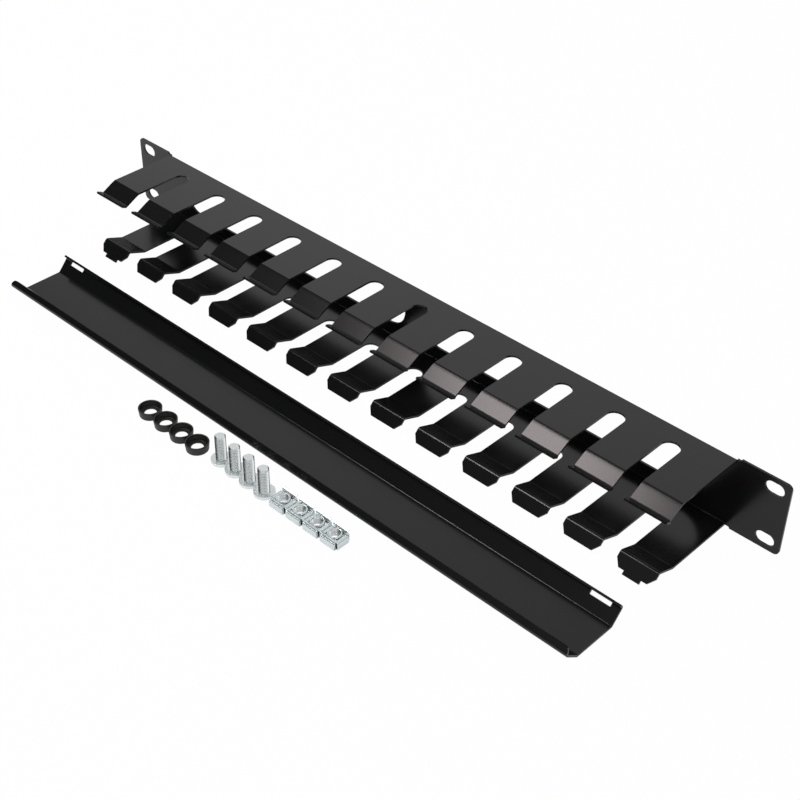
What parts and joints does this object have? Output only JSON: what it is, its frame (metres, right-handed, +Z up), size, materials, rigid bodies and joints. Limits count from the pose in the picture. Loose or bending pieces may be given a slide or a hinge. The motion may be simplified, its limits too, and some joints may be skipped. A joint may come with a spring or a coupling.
{
  "type": "horizontal cable manager",
  "caption": "Rack-mount horizontal cable manager: a slotted finger channel on an eared plate, with its clip-on cover, cup washers, screws and cage nuts laid out in front.",
  "frame": {"origin": "middle of the plate face that meets the rack rails, at the centre of the four rack slots", "axes": "+X along the length to the right ear, -Y out of the open front of the channel, +Y into the rack, +Z up"},
  "size_m": [0.4826, 0.1496, 0.0456],
  "materials": {
    "black_powder_coat": "semi-gloss fine powder coat",
    "black_plastic": "moulded matt",
    "zinc_plated_steel": "bright zinc plate",
    "spring_steel": "bright zinc plate on sheet"
  },
  "bodies": {
    "root": {"rack_body": "black_powder_coat", "cover": "black_powder_coat", "cup_washer_1": "black_plastic", "cup_washer_2": "black_plastic", "cup_washer_3": "black_plastic", "cup_washer_4": "black_plastic", "rack_screw_1": "zinc_plated_steel", "rack_screw_2": "zinc_plated_steel", "rack_screw_3": "zinc_plated_steel", "rack_screw_4": "zinc_plated_steel", "nut_cage_1": "spring_steel", "nut_cage_2": "spring_steel", "nut_cage_3": "spring_steel", "nut_cage_4": "spring_steel", "square_nut_1": "zinc_plated_steel", "square_nut_2": "zinc_plated_steel", "square_nut_3": "zinc_plated_steel", "square_nut_4": "zinc_plated_steel"}
  },
  "joints": []
}
